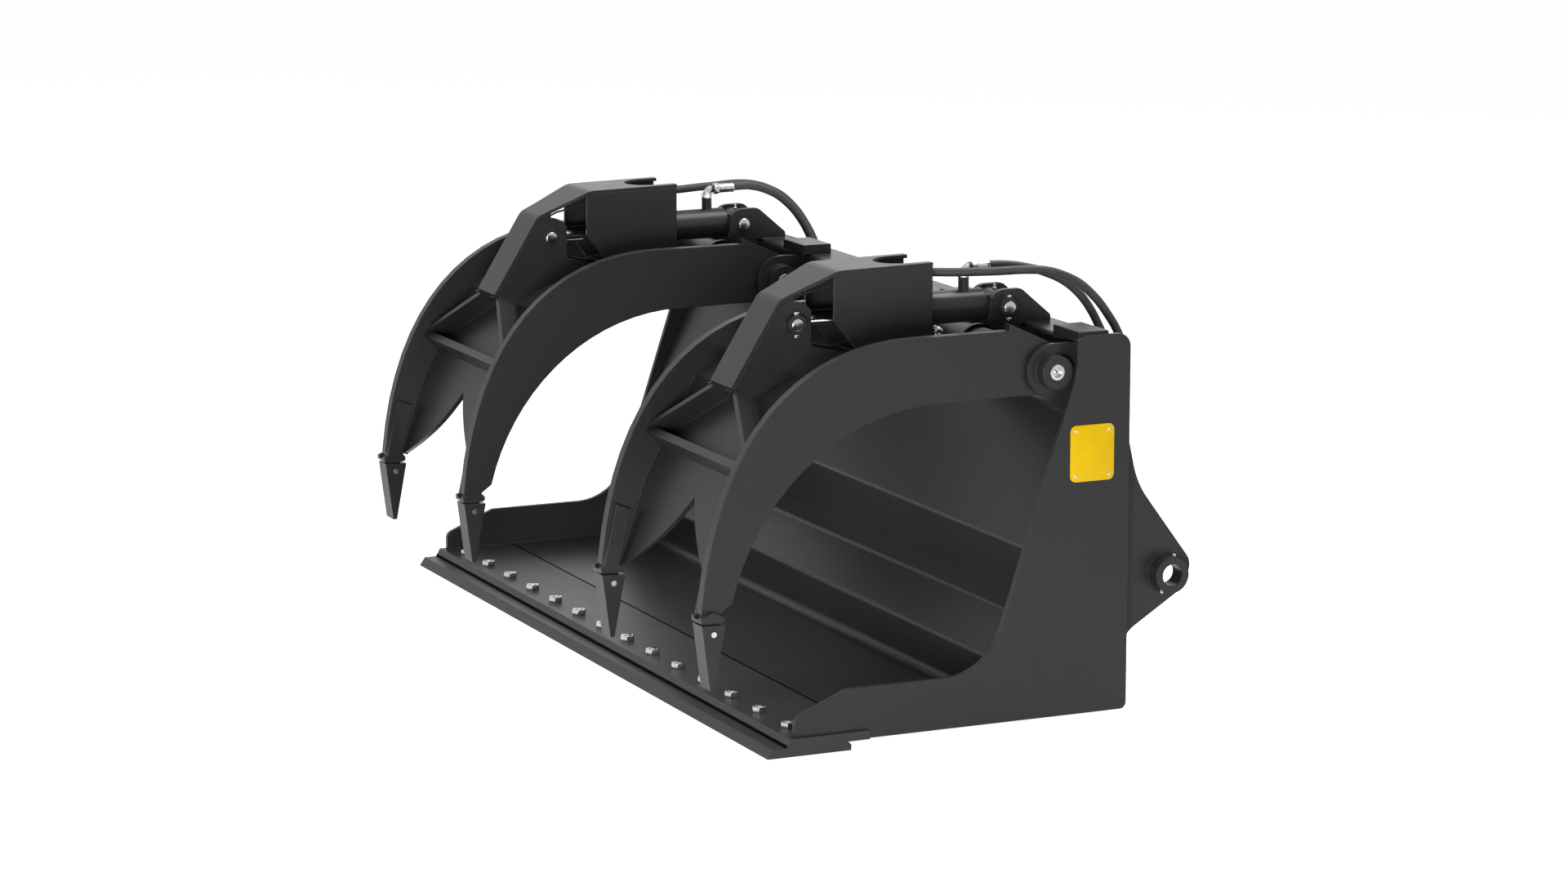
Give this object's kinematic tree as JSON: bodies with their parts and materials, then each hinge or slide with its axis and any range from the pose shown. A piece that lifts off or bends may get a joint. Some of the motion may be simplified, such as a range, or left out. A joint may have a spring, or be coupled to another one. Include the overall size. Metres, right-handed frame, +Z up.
{
  "type": "grapple bucket",
  "caption": "Wide loader bucket with a reversible bolt-on edge and hydraulic grapples of curved tines that close over its mouth.",
  "frame": {"origin": "on the ground under the middle of the whole part at rest, in width and in depth", "axes": "+X to the right across the bucket, +Y to the rear where the loader is, -Y out of the mouth, +Z up"},
  "size_m": [2.18, 1.2146, 1.022],
  "materials": {
    "paint": "satin",
    "edge": "satin",
    "zinc": "satin",
    "chrome": "polished",
    "rubber": "matte"
  },
  "bodies": {
    "bucket": {"side_plate_right": "paint", "side_plate_left": "paint", "floor_sheet": "paint", "back_sheet": "paint", "base_edge": "edge", "bolt_on_edge": "edge", "edge_bolts": "zinc", "edge_nuts": "zinc", "top_beam": "paint", "back_ribs": "paint", "heel_plate": "paint", "wear_strips": "edge", "hinge_plates_right": "paint", "hinge_plates_left": "paint", "hinge_bosses": "paint", "hinge_bolts": "zinc", "pivot_lugs": "paint", "pivot_bosses": "paint", "pivot_pins": "zinc", "cylinder_lugs": "paint", "rear_pins": "zinc", "stop_blocks": "paint", "hose_bulkhead": "paint"},
    "grapple_right": {"outer_tine_right": "paint", "inner_tine_right": "paint", "web_right": "paint", "braces_right": "paint", "spine_right": "paint", "strip_right": "paint", "guard_right": "paint", "hub_right": "paint", "adapters_right": "paint", "teeth_right": "paint", "tooth_pins_right": "zinc", "rod_pin_right": "zinc"},
    "barrel_right": {"barrel_right": "paint", "barrel_ports_right": "zinc", "rod_hose_right": "rubber", "base_hose_right": "rubber"},
    "rod_right": {"rod_right": "chrome", "rod_eye_right": "paint"},
    "grapple_left": {"outer_tine_left": "paint", "inner_tine_left": "paint", "web_left": "paint", "braces_left": "paint", "spine_left": "paint", "strip_left": "paint", "guard_left": "paint", "hub_left": "paint", "adapters_left": "paint", "teeth_left": "paint", "tooth_pins_left": "zinc", "rod_pin_left": "zinc"},
    "barrel_left": {"barrel_left": "paint", "barrel_ports_left": "zinc", "rod_hose_left": "rubber", "base_hose_left": "rubber"},
    "rod_left": {"rod_left": "chrome", "rod_eye_left": "paint"}
  },
  "joints": [
    {"name": "grapple_hinge_right", "type": "hinge", "parent": "bucket", "child": "grapple_right", "pos_m": [0.723, 0.24468, 0.8], "axis": [-1, 0, 0], "range_deg": [-6, 45]},
    {"name": "barrel_hinge_right", "type": "hinge", "parent": "bucket", "child": "barrel_right", "pos_m": [0.723, 0.26068, 0.906], "axis": [-1, 0, 0], "range_deg": [-6.5, 47], "deforming": ["rod_hose_right", "base_hose_right"]},
    {"name": "rod_slide_right", "type": "slide", "parent": "barrel_right", "child": "rod_right", "axis": [0, -1, -0.0057], "range_m": [-0.082, 0.0115]},
    {"name": "grapple_hinge_left", "type": "hinge", "parent": "bucket", "child": "grapple_left", "pos_m": [-0.723, 0.24468, 0.8], "axis": [-1, 0, 0], "range_deg": [-6, 45]},
    {"name": "barrel_hinge_left", "type": "hinge", "parent": "bucket", "child": "barrel_left", "pos_m": [-0.723, 0.26068, 0.906], "axis": [-1, 0, 0], "range_deg": [-6.5, 47], "deforming": ["rod_hose_left", "base_hose_left"]},
    {"name": "rod_slide_left", "type": "slide", "parent": "barrel_left", "child": "rod_left", "axis": [0, -1, -0.0057], "range_m": [-0.082, 0.0115]}
  ],
  "couplings": [
    {"joint": "barrel_hinge_right", "follows": "grapple_hinge_right", "ratio": 1.038},
    {"joint": "rod_slide_right", "follows": "grapple_hinge_right", "m_per_rad": -0.103},
    {"joint": "barrel_hinge_left", "follows": "grapple_hinge_left", "ratio": 1.038},
    {"joint": "rod_slide_left", "follows": "grapple_hinge_left", "m_per_rad": -0.103}
  ]
}
